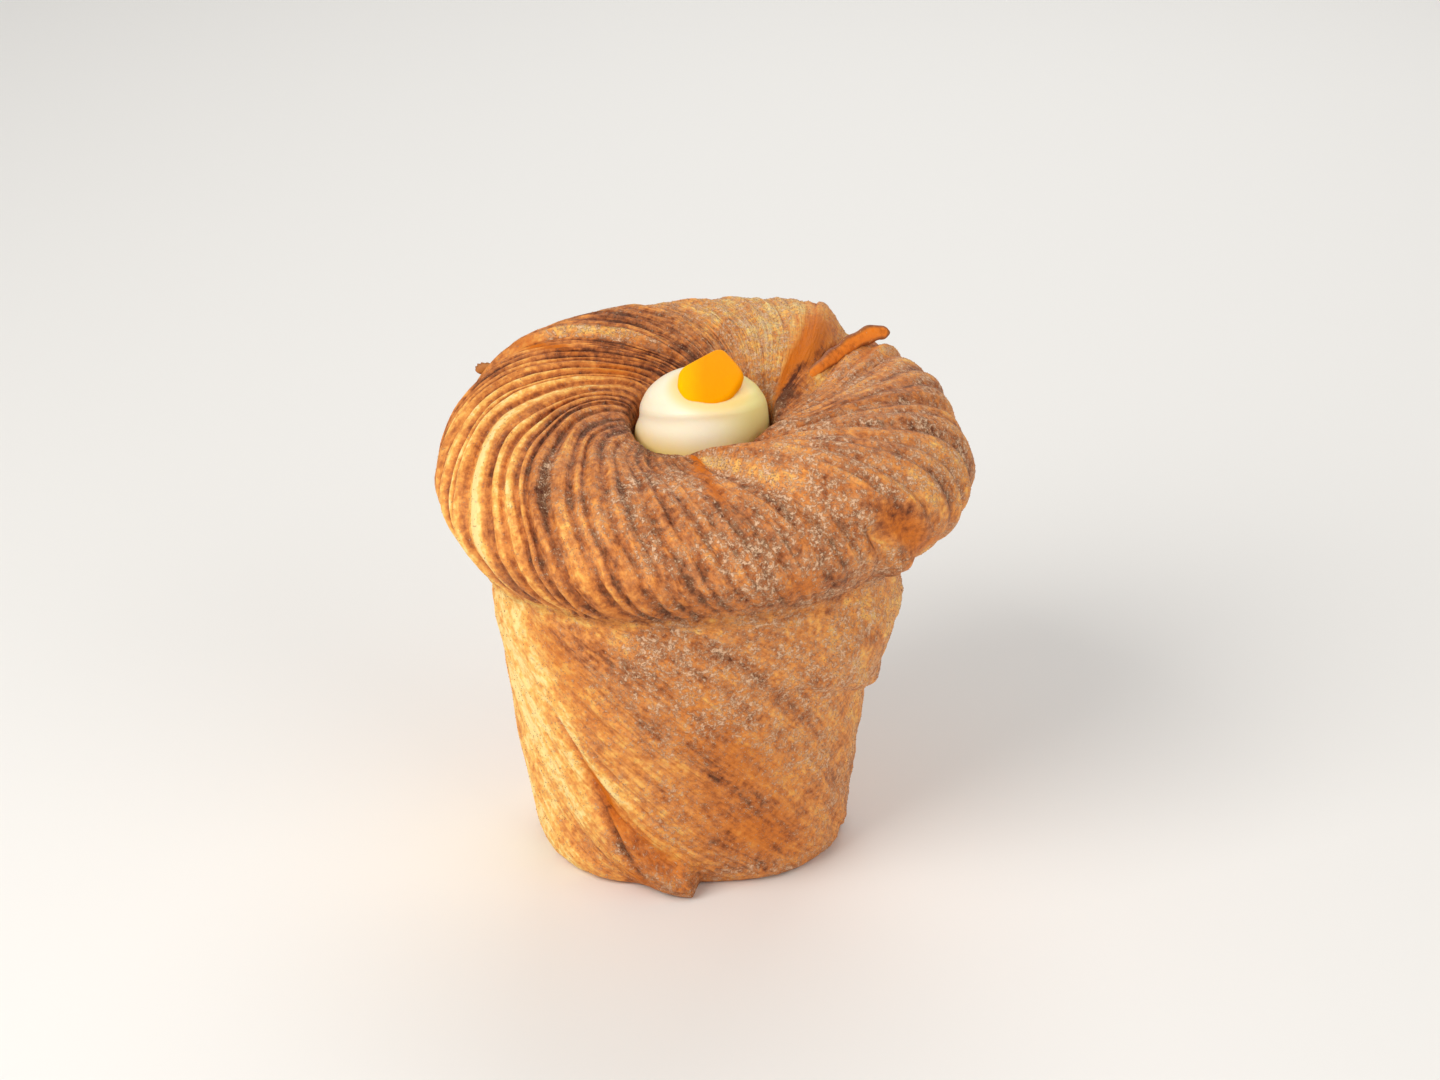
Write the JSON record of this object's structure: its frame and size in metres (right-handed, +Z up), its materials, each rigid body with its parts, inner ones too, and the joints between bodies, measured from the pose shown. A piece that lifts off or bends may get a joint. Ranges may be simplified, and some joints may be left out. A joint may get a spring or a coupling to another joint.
{
  "type": "croissant muffin",
  "caption": "Laminated pastry twisted and baked in a cup mould, with a whirled crown lapped in turns, a sugared crust, a filling of cream at its middle and a cut piece of orange fruit on it",
  "frame": {"origin": "the centre of the foot, on the surface that the pastry stands on", "axes": "+X the right side, +Y the back, +Z up; the front, which the picture shows, faces -Y"},
  "size_m": [0.0843, 0.0835, 0.0821],
  "materials": {
    "crust": "baked laminated dough with a dry, lightly sugared crust",
    "cream": "smooth pastry cream, soft and slightly moist",
    "fruit": "wet cut orange fruit"
  },
  "bodies": {
    "root": {"pastry": "crust", "cream": "cream", "fruit": "fruit"}
  },
  "joints": []
}
